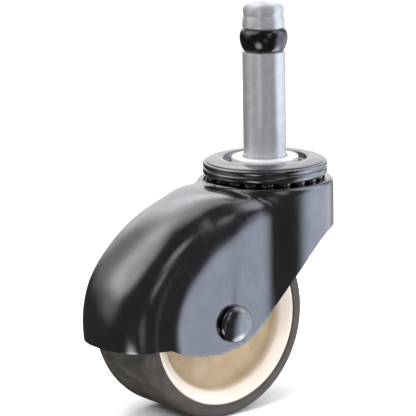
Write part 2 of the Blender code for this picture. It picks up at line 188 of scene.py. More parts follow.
# Colours as linear RGB, a low and a high tone where noise mixes two
CREAM_TONES = (0.69, 0.605, 0.53), (0.75, 0.67, 0.60)
WEB_TONES = (0.39, 0.295, 0.175), (0.48, 0.375, 0.24)
RUBBER_TONES = (0.043, 0.036, 0.030), (0.082, 0.070, 0.058)
PORE_TONE = (0.035, 0.030, 0.027)
FLOOR_TONES = (0.89, 0.89, 0.89), (0.92, 0.92, 0.92)
WORN_EDGE = (0.62, 0.61, 0.60)


def add(tree, kind, settings=None, **values):
    """A shader node with its settings and its sockets, each set or linked."""
    node = tree.nodes.new("ShaderNode" + kind)
    for key, value in (settings or {}).items():
        setattr(node, key, value)
    for key, value in values.items():
        feed(tree, node.inputs[key.replace("_", " ")], value)
    return node


def feed(tree, socket, value):
    """Links a socket's output into this one, or sets its value."""
    if isinstance(value, bpy.types.NodeSocket):
        tree.links.new(value, socket)
    else:
        socket.default_value = value


def finish(name, colour, roughness, metallic, **extra):
    """A material with its Principled shader's plain values set on their own sockets."""
    material = bpy.data.materials.new(name)
    material.use_nodes = True
    tree = material.node_tree
    shader = tree.nodes["Principled BSDF"]
    shader.inputs["Base Color"].default_value = (*colour, 1.0)
    shader.inputs["Roughness"].default_value = roughness
    shader.inputs["Metallic"].default_value = metallic
    for key, value in extra.items():
        shader.inputs[key.replace("_", " ")].default_value = value
    return material, tree, shader


def noise(tree, scale, detail=3.0, stretch=(1.0, 1.0, 1.0), roughness=0.55):
    """Fractal noise over the object's own coordinates, from 0 to 1."""
    where = add(tree, "TexCoord").outputs["Object"]
    if stretch != (1.0, 1.0, 1.0):
        where = add(tree, "Mapping", Vector=where, Scale=stretch).outputs["Vector"]
    texture = add(tree, "TexNoise", Vector=where, Scale=scale, Detail=detail, Roughness=roughness)
    return texture.outputs["Fac"]


def span(tree, value, low, high, to_low, to_high):
    """The value carried from one range to another, with soft ends."""
    node = add(tree, "MapRange", {"interpolation_type": "SMOOTHSTEP"}, Value=value)
    for key, number in (("From Min", low), ("From Max", high), ("To Min", to_low), ("To Max", to_high)):
        node.inputs[key].default_value = number
    return node.outputs["Result"]


def blend(tree, factor, first, second):
    """Mixes two colours, each a socket or an RGB triple."""
    node = add(tree, "Mix", {"data_type": "RGBA"})
    feed(tree, node.inputs["Factor"], factor)
    for socket, colour in zip(("A", "B"), (first, second)):
        inputs = [i for i in node.inputs if i.name == socket and i.type == "RGBA"]
        feed(tree, inputs[0], colour if isinstance(colour, bpy.types.NodeSocket) else (*colour, 1.0))
    return [o for o in node.outputs if o.type == "RGBA"][0]


def math_node(tree, operation, first, second=0.0):
    node = add(tree, "Math", {"operation": operation})
    feed(tree, node.inputs[0], first)
    feed(tree, node.inputs[1], second)
    return node.outputs["Value"]


def bump(tree, shader, height, strength, depth_mm):
    node = add(tree, "Bump", Height=height, Strength=strength, Distance=depth_mm * MM)
    tree.links.new(node.outputs["Normal"], shader.inputs["Normal"])


def gunmetal(name, base, sheen, low_rough, high_rough):
    """Dark nickel plate: cloudy sheen, faint polishing haze, and brighter worn edges."""
    material, tree, shader = finish(name, base, low_rough, 1.0)
    cloud = noise(tree, 140.0, 4.0)
    haze = noise(tree, 900.0, 3.0, stretch=(1.0, 1.0, 0.25))
    fine = noise(tree, 5200.0, 2.0)
    edge = add(tree, "Attribute", {"attribute_name": "edge"}).outputs["Fac"]
    worn = math_node(tree, "MULTIPLY", edge, span(tree, noise(tree, 1100.0), 0.35, 0.7, 0.15, 0.8))
    colour = blend(tree, span(tree, cloud, 0.3, 0.7, 0.0, 1.0), base, sheen)
    colour = blend(tree, worn, colour, WORN_EDGE)
    tree.links.new(colour, shader.inputs["Base Color"])
    rough = span(tree, haze, 0.25, 0.75, low_rough, high_rough)
    rough = math_node(tree, "ADD", rough, math_node(tree, "MULTIPLY", worn, 0.12))
    tree.links.new(rough, shader.inputs["Roughness"])
    height = math_node(tree, "ADD", fine, math_node(tree, "MULTIPLY", cloud, 1.4))
    bump(tree, shader, height, 0.10, 0.05)
    return material


def turned_zinc(name, base, sheen, metallic):
    """Bright zinc on steel: fine streaks along the axis, a drawn-out highlight and small dull spots."""
    material, tree, shader = finish(name, base, 0.45, metallic, Anisotropic=0.9, Anisotropic_Rotation=0.25)
    streaks = noise(tree, 900.0, 4.0, stretch=(1.0, 1.0, 0.05))
    spots = noise(tree, 420.0, 5.0)
    colour = blend(tree, span(tree, spots, 0.35, 0.72, 0.0, 1.0), base, sheen)
    tree.links.new(colour, shader.inputs["Base Color"])
    tree.links.new(span(tree, streaks, 0.25, 0.75, 0.40, 0.50), shader.inputs["Roughness"])
    tangent = add(tree, "Tangent", {"direction_type": "RADIAL", "axis": "Z"})
    tree.links.new(tangent.outputs["Tangent"], shader.inputs["Tangent"])
    bump(tree, shader, streaks, 0.06, 0.03)
    return material


def black_oxide(name, base, bloom):
    """Black oxide over polished steel, with an oily bloom."""
    material, tree, shader = finish(name, base, 0.16, 1.0)
    cloud = noise(tree, 520.0, 4.0)
    colour = blend(tree, span(tree, cloud, 0.35, 0.7, 0.0, 1.0), base, bloom)
    tree.links.new(colour, shader.inputs["Base Color"])
    tree.links.new(span(tree, noise(tree, 900.0), 0.3, 0.7, 0.12, 0.2), shader.inputs["Roughness"])
    bump(tree, shader, noise(tree, 2400.0, 2.0), 0.06, 0.03)
    return material


def steel(name, base, low_rough, high_rough):
    """Ground bearing steel with a thin film of oil."""
    material, tree, shader = finish(name, base, low_rough, 1.0)
    dull = tuple(0.72 * channel for channel in base)
    film = noise(tree, 620.0, 4.0)
    colour = blend(tree, span(tree, film, 0.4, 0.75, 0.0, 1.0), base, dull)
    tree.links.new(colour, shader.inputs["Base Color"])
    tree.links.new(span(tree, film, 0.3, 0.7, low_rough, high_rough), shader.inputs["Roughness"])
    bump(tree, shader, noise(tree, 3800.0, 2.0), 0.1, 0.03)
    return material


def cream_nylon(name):
    """Moulded nylon: a creamy rim, a tan web behind it, faint flow marks and a fine moulded grain."""
    material, tree, shader = finish(
        name, CREAM_TONES[1], 0.4, 0.0, Subsurface_Weight=0.08, Subsurface_Scale=0.8 * MM
    )
    shader.inputs["Subsurface Radius"].default_value = (1.0, 0.6, 0.35)
    where = add(tree, "TexCoord").outputs["Object"]
    flat = add(tree, "VectorMath", {"operation": "MULTIPLY"})
    feed(tree, flat.inputs[0], where)
    flat.inputs[1].default_value = (1.0, 0.0, 1.0)
    radius = add(tree, "VectorMath", {"operation": "LENGTH"})
    feed(tree, radius.inputs[0], flat.outputs["Vector"])
    rim = span(tree, radius.outputs["Value"], (RIM_R - 0.9) * MM, (RIM_R + 0.3) * MM, 0.0, 1.0)
    web = blend(tree, span(tree, noise(tree, 160.0, 3.0), 0.3, 0.7, 0.0, 1.0), *WEB_TONES)
    cream = blend(tree, span(tree, noise(tree, 210.0, 4.0), 0.3, 0.7, 0.0, 1.0), *CREAM_TONES)
    tree.links.new(blend(tree, rim, web, cream), shader.inputs["Base Color"])
    tree.links.new(span(tree, noise(tree, 1300.0), 0.3, 0.7, 0.32, 0.5), shader.inputs["Roughness"])
    bump(tree, shader, noise(tree, 3000.0, 3.0), 0.15, 0.05)
    return material


def tread_rubber(name):
    """Brown-grey rubber: dusty mottling, darker pores and a slightly uneven surface."""
    material, tree, shader = finish(name, RUBBER_TONES[1], 0.55, 0.0)
    mottle = noise(tree, 260.0, 5.0, roughness=0.65)
    pores = noise(tree, 2600.0, 4.0, roughness=0.7)
    colour = blend(tree, span(tree, mottle, 0.3, 0.72, 0.0, 1.0), *RUBBER_TONES)
    colour = blend(tree, span(tree, pores, 0.55, 0.75, 0.0, 0.6), colour, PORE_TONE)
    tree.links.new(colour, shader.inputs["Base Color"])
    tree.links.new(span(tree, mottle, 0.3, 0.7, 0.42, 0.68), shader.inputs["Roughness"])
    bump(tree, shader, math_node(tree, "ADD", pores, mottle), 0.35, 0.12)
    return material


ZINC = turned_zinc("zinc_turned", (0.80, 0.83, 0.88), (0.90, 0.92, 0.95), 0.87)
FLANGE_ZINC = turned_zinc("zinc_pressed", (0.84, 0.86, 0.89), (0.93, 0.94, 0.95), 0.6)
OXIDE = black_oxide("oxide_black", (0.15, 0.15, 0.155), (0.21, 0.21, 0.215))
# The axle's head gets a brighter copy of the black oxide: painted highlight that makes the reflections on
# its dome stronger
RIVET_OXIDE_PAINTED_BRIGHT = black_oxide("oxide_rivet_painted_bright", (0.34, 0.345, 0.355), (0.42, 0.425, 0.435))
HOOD_PLATE = gunmetal("plate_dark_nickel", (0.345, 0.35, 0.375), (0.39, 0.395, 0.42), 0.13, 0.22)
COLLAR_PLATE = gunmetal("plate_collar", (0.36, 0.365, 0.385), (0.41, 0.415, 0.435), 0.10, 0.20)
# Bearing balls in a darkened steel: painted shade that keeps the gap between the collar and the hood black
BALL_STEEL_PAINTED_SHADE = steel("steel_ball_painted_shade", (0.26, 0.26, 0.275), 0.08, 0.18)
TRACK_STEEL = steel("steel_track", (0.17, 0.17, 0.18), 0.3, 0.45)
CREAM = cream_nylon("nylon_cream")
RUBBER = tread_rubber("rubber_tread")


# ---------------------------------------------------------------- mesh tools

def mesh_object(name, points, faces, material, at=None):
    """A mesh from points in millimetres, smooth except at its sharp edges."""
    at = at or Vector((0.0, 0.0, 0.0))
    mesh = bpy.data.meshes.new(name)
    mesh.from_pydata([tuple(p * MM) for p in np.asarray(points, float)], [], faces)
    shape = bmesh.new()
    shape.from_mesh(mesh)
    bmesh.ops.remove_doubles(shape, verts=shape.verts, dist=0.001 * MM)
    bmesh.ops.recalc_face_normals(shape, faces=shape.faces)
    shape.to_mesh(mesh)
    shape.free()
    mesh.shade_smooth()
    mesh.set_sharp_from_angle(angle=math.radians(SHARP_ANGLE))
    mesh.materials.append(material)
    obj = bpy.data.objects.new(name, mesh)
    obj.location = at * MM
    bpy.context.scene.collection.objects.link(obj)
    obj.modifiers.new("even_shading", "WEIGHTED_NORMAL").keep_sharp = True
    return obj


def place(obj, body, slot, *nodes):
    """Puts a finished piece on its body and hides the CAD nodes that it stands for. The slot argument is not
    used.
    """
    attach(obj, body)
    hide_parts(*nodes)
    return obj


def rounded(corners, closed=True, segments=5):
    """A turned profile of (radius, height, rounding), with a small curve at each rounded corner."""
    points = []
    count = len(corners)
    for i, (r, z, cut) in enumerate(corners):
        corner = Vector((r, z))
        ends = not closed and i in (0, count - 1)
        if cut == 0 or ends:
            points.append(corner)
            continue
        before = Vector(corners[i - 1][:2]) - corner
        after = Vector(corners[(i + 1) % count][:2]) - corner
        first = corner + before.normalized() * min(cut, 0.48 * before.length)
        last = corner + after.normalized() * min(cut, 0.48 * after.length)
        for j in range(segments + 1):
            share = j / segments
            points.append(first.lerp(corner, share).lerp(corner.lerp(last, share), share))
    return [(p.x, p.y) for p in points]


def arc(centre_r, centre_z, radius, start, end, count):
    """Corners of (radius, height, 0) round an arc, with its angles in degrees from +r."""
    turns = [math.radians(start + (end - start) * i / count) for i in range(count + 1)]
    return [(centre_r + radius * math.cos(t), centre_z + radius * math.sin(t), 0) for t in turns]


def turned(name, profile, material, steps=160, about_axle=False):
    """A solid turned from a profile of (radius, height), closed on itself or ending on the axis."""
    on_axis = profile[0][0] == 0 and profile[-1][0] == 0
    radius, height = np.array(profile).T
    turn = np.arange(steps) * 2 * math.pi / steps
    ring = np.stack([
        np.outer(np.cos(turn), radius),
        np.outer(np.sin(turn), radius),
        np.broadcast_to(height, (steps, len(height))),
    ], axis=-1)
    if about_axle:
        ring = ring[..., [0, 2, 1]] * (1, 1, -1)
    rows = len(profile)
    faces = []
    for i in range(steps):
        k = (i + 1) % steps
        for j in range(rows - 1 if on_axis else rows):
            m = (j + 1) % rows
            corners = [i * rows + j, i * rows + m, k * rows + m, k * rows + j]
            if radius[j] == 0:
                corners = corners[:3]
            elif radius[m] == 0:
                corners = [corners[0], corners[1], corners[3]]
            faces.append(corners)
    return mesh_object(name, ring.reshape(-1, 3), faces, material, AXLE_AT if about_axle else None)


def both_sides(side):
    """A profile listed on one side of the middle, carried round to the other side."""
    return side + [(r, -y, cut) for r, y, cut in side[::-1]]


# ---------------------------------------------------------------- stem and bearing

def make_stem():
    """The turned pin, from its nose down to the riveted end under the bearing."""
    top, low = STEM_HIGH.z, STEM_LOW.z
    profile = rounded([
        (0.0, top, 0),
        (NOSE_R - 0.35, top, 0.7),
        (NOSE_R + 0.3, top - 1.0, 0.5),
        (NOSE_R + 0.4, top - 2.3, 0.5),
        (NOSE_R + 0.15, top - 3.0, 0.4),
        (NOSE_R + 0.45, top - 3.7, 0.5),
        (NOSE_SEAT_R, top - 5.2, 0.6),
        (NOSE_SEAT_R, RING_HIGH.z + GAP, 0.25),
        (RING_GROOVE_R, RING_HIGH.z + GAP, 0.2),
        (RING_GROOVE_R, RING_LOW.z - GAP, 0.2),
        (STEM_R, RING_LOW.z - GAP, 0.3),
        (STEM_R, RECESS_Z + GAP + 0.4, 0.3),
        (STEM_R - 0.3, RECESS_Z + GAP, 0.1),
        (RIVET_NECK_R, RECESS_Z + GAP, 0.2),
        (RIVET_NECK_R, RIVET_TOP, 0.1),
        (RIVET_HEAD_R, RIVET_TOP, 0.3),
        (RIVET_HEAD_R - 0.1, RIVET_TOP - 0.8, 0.6),
        (RIVET_HEAD_R - 1.4, low + 0.2, 0.7),
        (0.0, low, 0),
    ], closed=False)
    return place(turned("stem_pin", profile, ZINC), "stem_assembly", "bright_zinc", "stem")


def make_grip_ring():
    """The barrel sleeve, swept round from one side of its split to the other."""
    low, high = RING_LOW.z, RING_HIGH.z
    section = []
    for i in range(RING_ROWS + 1):
        share = i / RING_ROWS
        # Fullest above the middle, with rounded ends
        bulge = math.sin(math.pi * min(max(share, 0.01), 0.99) ** 0.72) ** 0.6
        section.append((RING_END_R + (RING_MID_R - RING_END_R) * bulge, high - (high - low) * share))
    bore, chamfer = RING_GROOVE_R + GAP, 0.15
    section += [(bore + chamfer, low), (bore, low + chamfer), (bore, high - chamfer), (bore + chamfer, high)]
    half_split = 0.5 * RING_SPLIT / RING_MID_R
    points, faces, count = [], [], len(section)
    for i in range(RING_STEPS + 1):
        turn = half_split + (2 * math.pi - 2 * half_split) * i / RING_STEPS
        points += [(r * math.cos(turn), r * math.sin(turn), z) for r, z in section]
    for i in range(RING_STEPS):
        for j in range(count):
            k = (j + 1) % count
            faces.append([i * count + j, i * count + k, (i + 1) * count + k, (i + 1) * count + j])
    faces.append(list(range(count)))
    faces.append([RING_STEPS * count + j for j in range(count)])
    ring = mesh_object("split_ring", np.array(points), faces, OXIDE)
    return place(ring, "grip_ring", "black_oxide", "grip_ring")


def make_flange_washer():
    bore, top, bottom = STEM_R + GAP, FLANGE_HIGH.z, FLANGE_LOW.z
    outer = (FLANGE_HIGH.x - FLANGE_LOW.x) / 2
    profile = rounded([(bore, top, 0.15), (outer, top, 0.5), (outer, bottom, 0.2), (bore, bottom, 0.15)])
    disc = turned("flange_disc", profile, FLANGE_ZINC)
    return place(disc, "stem_assembly", "bright_zinc", "flange_washer")


def make_collar():
    profile = rounded([
        (COLLAR_LIP_R - 0.1, -0.15, 0.5),
        (COLLAR_R - 3.8, 0.0, 1.2),
        (COLLAR_R - 1.7, -0.3, 1.2),
        (COLLAR_R - 0.55, -0.8, 0.35),
        (COLLAR_R - 0.8, -0.95, 0.2),
        (COLLAR_R + 0.1, -1.15, 0.45),
        (COLLAR_R + 0.1, -2.1, 0.45),
        (COLLAR_R - 0.45, -2.45, 0.35),
        (COLLAR_R + 0.1, -2.8, 0.45),
        (COLLAR_R + 0.1, -3.85, 0.5),
        (COLLAR_R - 0.35, COLLAR_LOW.z, 0.25),
        *arc(UPPER_PITCH_R, UPPER_Z, UPPER_BALL_R + TRACK_GAP, 21, 165, 28),
        (COLLAR_LIP_R - 0.4, COLLAR_FLOOR_Z, 0.2),
        (RIVET_NECK_R + GAP, COLLAR_FLOOR_Z, 0.2),
        (RIVET_NECK_R + GAP, RECESS_Z, 0.15),
        (COLLAR_LIP_R - 0.5, RECESS_Z, 0.6),
    ])
    cup = turned("collar_cup", profile, COLLAR_PLATE, 200)
    return place(cup, "stem_assembly", "gunmetal_plate", "swivel_collar")


def make_race():
    seat_r = NECK_R - WALL - 0.55
    profile = rounded([
        *arc(UPPER_PITCH_R, UPPER_Z, UPPER_BALL_R + TRACK_GAP, 195, 330, 24),
        (seat_r, -6.25, 0.1),
        (seat_r, -8.6, 0.4),
        (12.0, -9.0, 0.4),
        *arc(LOWER_PITCH_R, LOWER_Z, LOWER_BALL_R + TRACK_GAP, 30, 165, 20),
        (RACE_BORE_R, -10.2, 0.2),
        (RACE_BORE_R, -6.4, 0.4),
    ])
    return place(turned("race_cup", profile, TRACK_STEEL), "swivel_fork", "race_steel", "swivel_race")


def make_cup():
    bore, outer = RIVET_NECK_R + GAP, CUP_HIGH.x
    profile = rounded([
        *arc(LOWER_PITCH_R, LOWER_Z, LOWER_BALL_R + TRACK_GAP, 200, 335, 20),
        (outer, CUP_TOP_Z, 0.15),
        (outer, CUP_TOP_Z - 1.0, 0.3),
        (outer - 1.5, CUP_TOP_Z - 2.4, 0.8),
        (bore, CUP_LOW.z, 0.15),
        (bore, CUP_TOP_Z, 0.15),
    ])
    return place(turned("lower_cup", profile, TRACK_STEEL), "stem_assembly", "race_steel", "retaining_cup")


def make_balls(row, count, radius):
    """One finely divided ball for each ball of the ring, where its CAD node is."""
    sphere = bpy.data.meshes.new(row + "_sphere")
    shape = bmesh.new()
    bmesh.ops.create_icosphere(shape, subdivisions=4, radius=radius * MM)
    shape.to_mesh(sphere)
    shape.free()
    sphere.shade_smooth()
    sphere.materials.append(BALL_STEEL_PAINTED_SHADE)
    for i in range(1, count + 1):
        node = f"{row}_{i:02d}"
        low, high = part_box(node)
        ball = bpy.data.objects.new(f"bearing_{node}", sphere)
        ball.location = (low + high) / 2
        bpy.context.scene.collection.objects.link(ball)
        place(ball, row + "_ring", "bearing_steel", node)


# ---------------------------------------------------------------- wheel and axle

def make_axle():
    """A rivet with a domed head on each side."""
    under = PANEL_Y + GAP
    foot = under + AXLE_HEAD_EDGE
    rise = AXLE_HIGH.y - foot
    dome = []
    for i in range(1, DOME_STEPS):
        turn = math.pi / 2 * i / DOME_STEPS
        dome.append((AXLE_HEAD_R * math.cos(turn), foot + rise * math.sin(turn), 0))
    side = [(0.0, AXLE_HIGH.y, 0)] + dome[::-1]
    side += [(AXLE_HEAD_R, foot, 0.25), (AXLE_HEAD_FOOT_R, under, 0.1), (AXLE_R, under, 0.1)]
    profile = rounded(both_sides(side), closed=False)
    return place(turned("axle_rivet", profile, RIVET_OXIDE_PAINTED_BRIGHT, 128, True), "swivel_fork", "black_oxide", "axle")


def make_washers():
    bore = AXLE_R + GAP
    for label in ("near", "far"):
        low, high = box_mm("thrust_washer_" + label)
        profile = rounded([
            (bore, high.y, 0.1),
            (WASHER_R, high.y, 0.12),
            (WASHER_R, low.y, 0.12),
            (bore, low.y, 0.1),
        ])
        disc = turned("thrust_disc_" + label, profile, FLANGE_ZINC, 96, True)
        place(disc, "swivel_fork", "bright_zinc", "thrust_washer_" + label)


def make_bush():
    bore, half = AXLE_R + GAP, BUSH_HIGH.y
    profile = rounded([(bore, half, 0.12), (BUSH_R, half, 0.2), (BUSH_R, -half, 0.2), (bore, -half, 0.12)])
    return place(turned("hub_sleeve", profile, TRACK_STEEL, 96, True), "wheel", "bearing_steel", "hub_bush")


def make_wheel():
    seat = TYRE_SEAT_R - 0.04
    side = [
        (BUSH_R + GAP, HUB_HALF, 0.15),
        (HUB_R + 0.2, HUB_HALF, 0.5),
        (HUB_R + 1.0, WEB_HALF + 0.2, 1.0),
        (RIM_R - 1.2, WEB_HALF - 0.05, 1.6),
        (RIM_R + 0.1, WEB_HALF + 2.6, 0.5),
        (RIM_R + 1.6, WHEEL_HALF - 0.8, 0.7),
        (RIM_R + 2.6, WHEEL_HALF - 0.15, 0.3),
        (seat, WHEEL_HALF - 0.35, 0.12),
        (seat, 3.0, 0.1),
        (seat + 1.0, 2.6, 0.1),
    ]
    wheel = turned("wheel_moulding", rounded(both_sides(side)), CREAM, 192, True)
    place(wheel, "wheel", "cream_nylon", "wheel_core")


def make_tyre():
    seat = TYRE_SEAT_R + 0.02
    side = [
        (seat + 1.0, 2.9, 0.1),
        (seat, 3.3, 0.1),
        (seat, WHEEL_HALF, 0.2),
        (seat + 0.5, WHEEL_HALF, 0.3),
        (WHEEL_R - 0.9, TREAD_HALF + 1.4, 1.0),
        (WHEEL_R, TREAD_HALF + 0.3, 0.9),
    ]
    tyre = turned("tyre_tread", rounded(both_sides(side), segments=7), RUBBER, 224, True)
    place(tyre, "wheel", "dark_tread", "tyre")


# ---------------------------------------------------------------- hood

def along(points, at):
    """A smooth curve through (angle, distance) points, read at many angles by Catmull-Rom."""
    knots, values = np.array(points, float).T
    slopes = np.empty_like(values)
    slopes[1:-1] = (values[2:] - values[:-2]) / (knots[2:] - knots[:-2])
    slopes[0] = (values[1] - values[0]) / (knots[1] - knots[0])
    slopes[-1] = (values[-1] - values[-2]) / (knots[-1] - knots[-2])
    i = np.clip(np.searchsorted(knots, at, side="left") - 1, 0, len(knots) - 2)
    width = knots[i + 1] - knots[i]
    share = (at - knots[i]) / width
    square, cube = share**2, share**3
    return (
        (2 * cube - 3 * square + 1) * values[i]
        + (cube - 2 * square + share) * slopes[i] * width
        + (3 * square - 2 * cube) * values[i + 1]
        + (cube - square) * slopes[i + 1] * width
    )


def smooth_min(a, b, width):
    overlap = np.maximum(width - np.abs(a - b), 0.0) / width
    return np.minimum(a, b) - overlap**2 * width / 4


def hood_field(points):
    """Negative inside the hood's outer form, which joins a neck, a crown and a side panel."""
    x, y, z = np.moveaxis(points, -1, 0)
    roll = np.clip((z - NECK_TOP + NECK_ROLL_Z) / NECK_ROLL_Z, 0.0, 1.0)
    neck = np.hypot(x, y) - NECK_R + NECK_ROLL_R * (1 - np.sqrt(1 - roll**2))
    from_axle = np.hypot(x - AXLE_X, z - AXLE_Z)
    angle = np.degrees(np.arctan2(z - AXLE_Z, x - AXLE_X)) % 360
    angle = np.where(angle > 300, RIDGE[0][0], np.clip(angle, RIDGE[0][0], RIDGE[-1][0]))
    toward_neck = np.clip((SHOULDER_ANGLES[0] - angle) / (SHOULDER_ANGLES[0] - SHOULDER_ANGLES[1]), 0.0, 1.0)
    toward_neck = toward_neck**2 * (3 - 2 * toward_neck)
    half = CROWN_HALF + (SHOULDER_HALF - CROWN_HALF) * toward_neck
    power = CROWN_POWER + (SHOULDER_POWER - CROWN_POWER) * toward_neck
    up = np.maximum(from_axle - CROWN_FOOT, 0.0) / (along(RIDGE, angle) - CROWN_FOOT)
    across = np.abs(y) / half
    crown = ((up**power + across**power) ** (1 / power) - 1) * half
    crown = -smooth_min(-crown, CROWN_LIMIT - np.abs(y), LIMIT_SOFT)
    past_edge = from_axle - along(PANEL_EDGE, angle)
    flat = np.abs(y) - PANEL_Y
    step = (flat + WALL_SLOPE * past_edge) / math.hypot(1, WALL_SLOPE)
    panel = -smooth_min(smooth_min(-flat, -step, EDGE_SOFT), STEP_WIDTH - past_edge, REACH_SOFT)
    panel = panel + PANEL_FADE * np.maximum(x - PANEL_FRONT_X, 0.0)
    return smooth_min(smooth_min(crown, neck, NECK_SOFT), panel, VALLEY_SOFT)


def hits(origins, directions, level):
    """Where rays from inside the hood reach a level of its field."""
    near = np.zeros(origins.shape[:-1])
    far = np.full_like(near, HIT_REACH)
    for _ in range(HIT_HALVINGS):
        middle = (near + far) / 2
        inside = hood_field(origins + directions * middle[..., None]) < level
        near, far = np.where(inside, middle, near), np.where(inside, far, middle)
    return origins + directions * far[..., None]


def plate_edge_z(x):
    """Height of the plate's lower edge under the neck, at this x."""
    edge_x, edge_z = np.array(PLATE_EDGE).T
    return float(np.interp(x, edge_x[::-1], edge_z[::-1]))


def plate_edge_at(share):
    """Point of the lower edge between the panel's crease and the place below the rear corner."""
    crease = [x for x, _ in PLATE_EDGE].index(CREASE_X)
    run = np.array(PLATE_EDGE[crease:-1])
    length = np.concatenate([[0.0], np.cumsum(np.hypot(*np.diff(run, axis=0).T))])
    at = share * length[-1]
    return Vector((np.interp(at, length, run[:, 0]), 0.0, np.interp(at, length, run[:, 1])))


def about_axle(angle, distance):
    turn = math.radians(angle)
    return AXLE_AT + Vector((distance * math.cos(turn), 0.0, distance * math.sin(turn)))


def hood_rays():
    """Origins and directions of the rays, in lines from the hood's top down to its lower edge."""
    lines = []
    for i in range(NECK_STATIONS):
        turn = math.radians(CREASE_ANGLE * i / (NECK_STATIONS - 1))
        direction = Vector((math.cos(turn), -math.sin(turn), 0))
        edge_z = plate_edge_z(NECK_R * math.cos(turn))
        shares = [(j / ARCH_ROWS) ** ROW_CROWDING for j in range(ARCH_ROWS)]
        heights = [NECK_TOP + (SHOULDER_Z - NECK_TOP) * share for share in shares]
        heights += [SHOULDER_Z + (edge_z - SHOULDER_Z) * j / PLATE_ROWS for j in range(PLATE_ROWS + 1)]
        lines.append([(Vector((0, 0, z)), direction) for z in heights])
    for i in range(1, CROWN_STATIONS + 1):
        rim_share = min(i / RIM_STATIONS, 1.0)
        ridge_share = max((i - RIM_STATIONS) / (CROWN_STATIONS - RIM_STATIONS), 0.0)
        foot_angle = FOOT_ANGLES[0] + (FOOT_ANGLES[1] - FOOT_ANGLES[0]) * rim_share
        foot_angle += (FOOT_ANGLES[2] - FOOT_ANGLES[1]) * ridge_share
        foot = about_axle(foot_angle, float(along(PANEL_EDGE, foot_angle)))
        if ridge_share > 0:    # a line over the crown, which starts at its ridge
            ridge_angle = RIDGE_ANGLES[0] + (RIDGE_ANGLES[1] - RIDGE_ANGLES[0]) * ridge_share
            top = about_axle(ridge_angle, float(along(RIDGE, ridge_angle)))
            start = 0.0
        else:                  # a line behind the neck, which starts at its rim
            turn = math.radians(CREASE_ANGLE + (180 - CREASE_ANGLE) * rim_share)
            rim_r = NECK_R - NECK_ROLL_R
            top = Vector((rim_r * math.cos(turn), 0, NECK_TOP))
            start = math.atan2(rim_r * math.sin(turn), (top - foot).length)
        up = (top - foot).normalized()
        rays = []
        for j in range(ARCH_ROWS):
            lean = start + (math.pi / 2 - start) * j / ARCH_ROWS
            rays.append((foot, up * math.cos(lean) + Vector((0, -math.sin(lean), 0))))
        bottom = plate_edge_at(i / CROWN_STATIONS)
        rays += [(foot.lerp(bottom, j / PLATE_ROWS), Vector((0, -1, 0))) for j in range(PLATE_ROWS + 1)]
        lines.append(rays)
    rays = np.array([[(tuple(o), tuple(d)) for o, d in line] for line in lines])
    return rays[:, :, 0], rays[:, :, 1]


def make_hood():
    """Outer and inner skins of one half, joined round the edges, mirrored and drilled for the axle."""
    origins, directions = hood_rays()
    outer, inner = hits(origins, directions, 0.0), hits(origins, directions, -WALL)
    stations, rows = outer.shape[:2]
    index = np.arange(stations * rows).reshape(stations, rows)
    other = index + stations * rows
    quads = []
    for grid, flip in ((index, False), (other, True)):
        faces = np.stack([grid[:-1, :-1], grid[:-1, 1:], grid[1:, 1:], grid[1:, :-1]], -1).reshape(-1, 4)
        quads.append(faces[:, ::-1] if flip else faces)
    quads.append(np.stack([index[:-1, -1], other[:-1, -1], other[1:, -1], index[1:, -1]], -1))
    quads.append(np.stack([index[-1, :-1], index[-1, 1:], other[-1, 1:], other[-1, :-1]], -1))
    open_rim = np.abs(outer[:-1, 0, 1]) > GAP
    open_rim[0] = True
    rim = np.stack([index[:-1, 0], index[1:, 0], other[1:, 0], other[:-1, 0]], -1)
    quads.append(rim[open_rim])
    points = np.concatenate([outer.reshape(-1, 3), inner.reshape(-1, 3)])
    points[np.abs(points[:, 1]) < ON_MIDDLE, 1] = 0.0
    hood = mesh_object("hood_shell", points, np.concatenate(quads).tolist(), HOOD_PLATE)
    hood.modifiers.clear()
    mirror = hood.modifiers.new("other_side", "MIRROR")
    mirror.use_axis = (False, True, False)
    mirror.merge_threshold = MIRROR_MERGE * MM
    bake(hood)
    drill(hood, AXLE_R + GAP)
    soften_edges(hood)
    return place(hood, "swivel_fork", "gunmetal_plate", "hood")


def bake(obj):
    """Makes the evaluated mesh the object's own, and drops its modifiers."""
    bpy.context.view_layer.update()
    evaluated = obj.evaluated_get(bpy.context.evaluated_depsgraph_get())
    mesh = bpy.data.meshes.new_from_object(evaluated)
    obj.modifiers.clear()
    obj.data = mesh


def drill(obj, radius):
    """Cuts the axle's hole through both side plates."""
    mesh = bpy.data.meshes.new("drill")
    shape = bmesh.new()
    bmesh.ops.create_cone(
        shape, cap_ends=True, segments=HOLE_SEGMENTS,
        radius1=radius * MM, radius2=radius * MM, depth=HOLE_LENGTH * MM,
        matrix=Matrix.Translation(AXLE_AT * MM) @ Matrix.Rotation(math.radians(90), 4, "X"),
    )
    shape.to_mesh(mesh)
    shape.free()
    cutter = bpy.data.objects.new("drill", mesh)
    bpy.context.scene.collection.objects.link(cutter)
    obj.modifiers.new("axle_hole", "BOOLEAN").object = cutter
    bake(obj)
    bpy.data.objects.remove(cutter)


